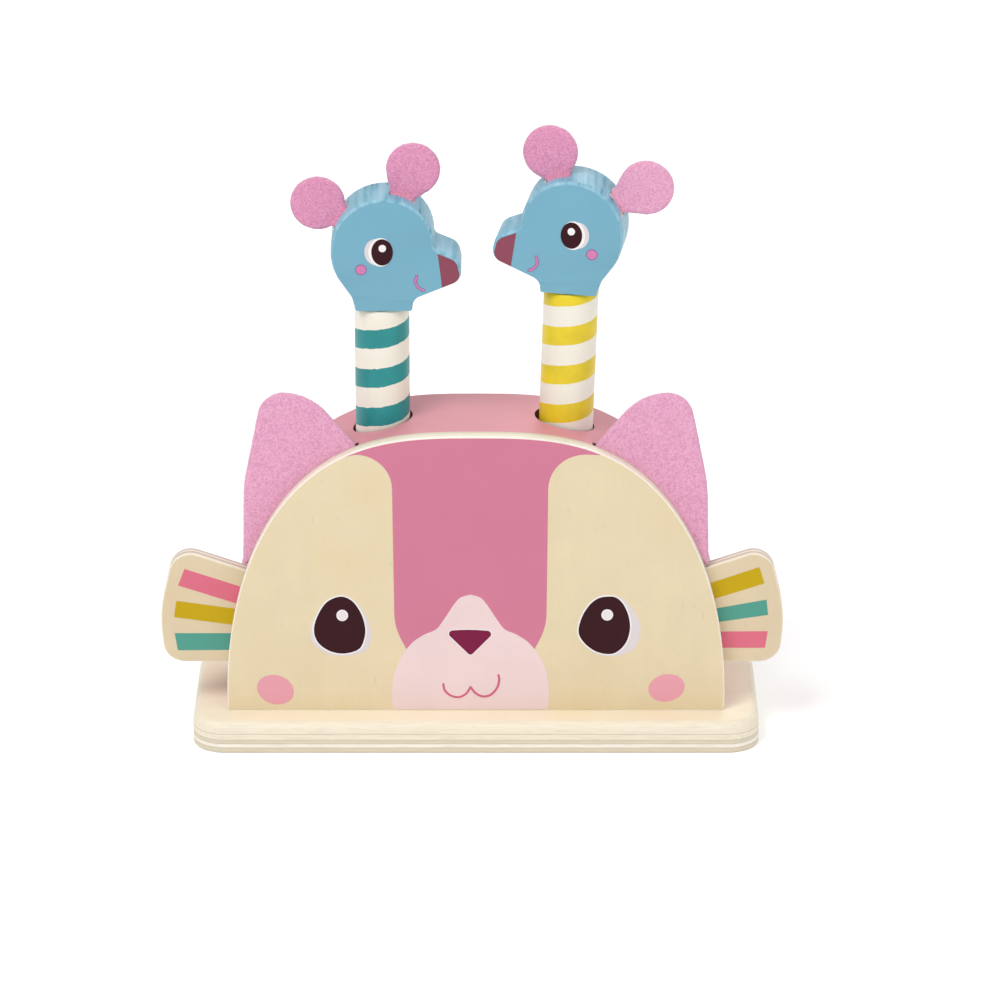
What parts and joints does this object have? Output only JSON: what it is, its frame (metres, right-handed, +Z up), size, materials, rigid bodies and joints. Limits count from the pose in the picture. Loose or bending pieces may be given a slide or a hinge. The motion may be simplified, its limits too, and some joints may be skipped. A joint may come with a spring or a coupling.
{
  "type": "pop up animal toy",
  "caption": "Wooden pop up toy: a cat faced arch on a flat base holds mice on striped pegs that press down into sprung bores and pop up again.",
  "frame": {"origin": "middle of the base's underside, which is the bottom centre of the whole toy's box", "axes": "+Z up along the pegs, the cat's face looks towards -Y, +X is on the viewer's right"},
  "size_m": [0.23, 0.07, 0.2306],
  "materials": {
    "plywood": "sanded pale plywood with a clear matt varnish",
    "raw_wood": "bare wood",
    "pink_paint": "satin pink paint on wood",
    "blue_paint": "satin blue paint on wood",
    "teal_paint": "teal and white painted stripes on dowel",
    "yellow_paint": "yellow and white painted stripes on dowel",
    "felt": "pink pressed felt",
    "steel": "zinc plated steel"
  },
  "bodies": {
    "base": {"base_plate": "plywood", "base_screws": "steel", "body_block": "pink_paint", "front_panel": "plywood", "whisker_left": "plywood", "whisker_right": "plywood", "cat_ear_left": "felt", "cat_ear_right": "felt", "spring_left": "steel", "spring_right": "steel"},
    "slider_left": {"stop_washer_left": "steel"},
    "mouse_left": {"head_left": "blue_paint", "neck_pin_left": "raw_wood", "peg_left": "teal_paint", "ear_front_left": "felt", "ear_rear_left": "felt", "stop_screw_left": "steel"},
    "slider_right": {"stop_washer_right": "steel"},
    "mouse_right": {"head_right": "blue_paint", "neck_pin_right": "raw_wood", "peg_right": "yellow_paint", "ear_front_right": "felt", "ear_rear_right": "felt", "stop_screw_right": "steel"}
  },
  "joints": [
    {"name": "press_left", "type": "slide", "parent": "base", "child": "slider_left", "axis": [0, 0, 1], "range_m": [-0.0431, 0.0064], "stiffness_N_per_m": 59.4, "springref_m": 0.007, "deforming": ["spring_left"]},
    {"name": "press_right", "type": "slide", "parent": "base", "child": "slider_right", "axis": [0.0332, 0, 0.9995], "range_m": [-0.0495, 0], "stiffness_N_per_m": 59.4, "springref_m": 0.012, "deforming": ["spring_right"]},
    {"name": "turn_left", "type": "hinge", "parent": "slider_left", "child": "mouse_left", "pos_m": [-0.0342, 0.003, 0.1], "axis": [0, 0, 1], "range_deg": [-135, 135]},
    {"name": "turn_right", "type": "hinge", "parent": "slider_right", "child": "mouse_right", "pos_m": [0.0326, 0.003, 0.1], "axis": [0.0332, 0, 0.9995], "range_deg": [-127, 143]}
  ]
}
